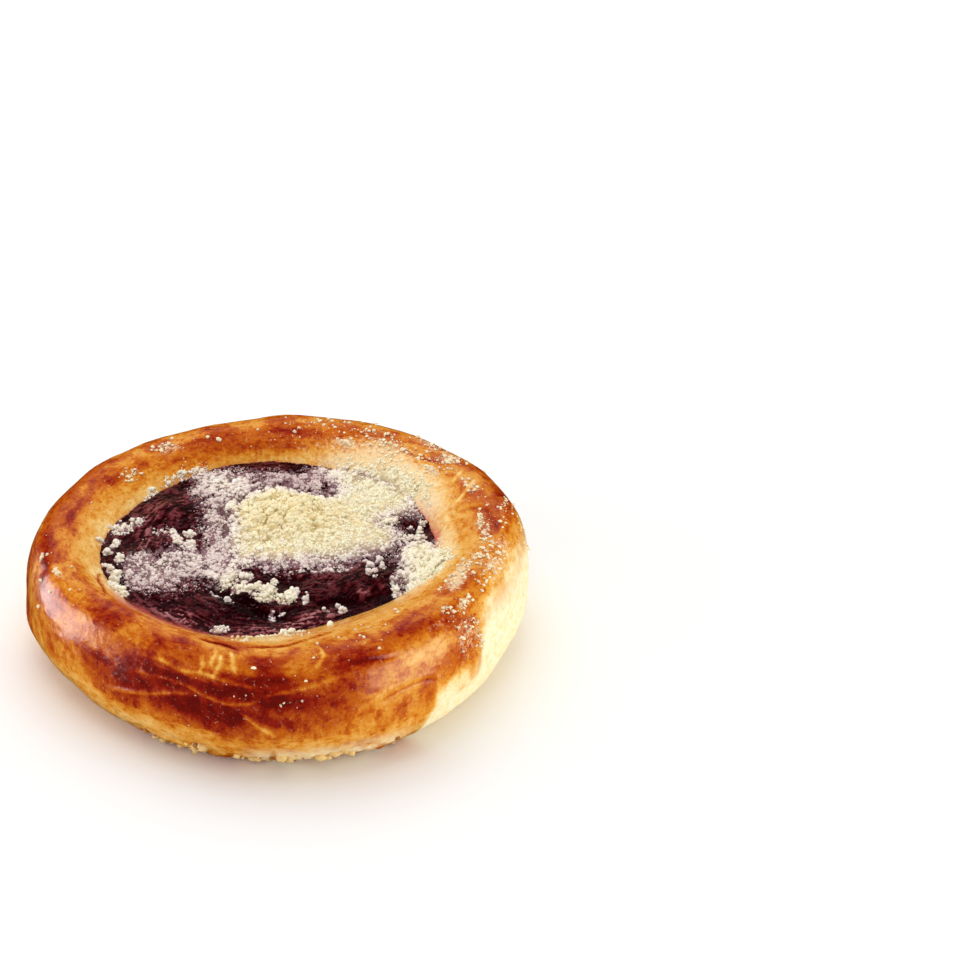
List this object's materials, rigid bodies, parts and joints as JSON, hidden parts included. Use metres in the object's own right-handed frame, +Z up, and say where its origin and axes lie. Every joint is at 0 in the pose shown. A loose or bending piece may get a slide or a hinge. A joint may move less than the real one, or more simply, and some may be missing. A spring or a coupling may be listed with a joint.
{
  "type": "strawberry crumble pastry",
  "caption": "Round flat yeast bun with a glazed rim, its hollow filled with dark strawberry jam and topped with butter crumble.",
  "frame": {"origin": "middle of the flat base", "axes": "+Z up from the base, +X to the pastry's right, where the crumble runs up the rim, +Y to its back"},
  "size_m": [0.1192, 0.1173, 0.0327],
  "materials": {
    "glazed_crust": "baked yeast dough with an egg glaze, brown on top and pale low on its side",
    "strawberry_jam": "dark baked strawberry jam, glossy",
    "butter_crumble": "pale butter crumble, dry and grainy"
  },
  "bodies": {
    "root": {"dough_bun": "glazed_crust", "jam_filling": "strawberry_jam", "crumble_topping": "butter_crumble"}
  },
  "joints": []
}
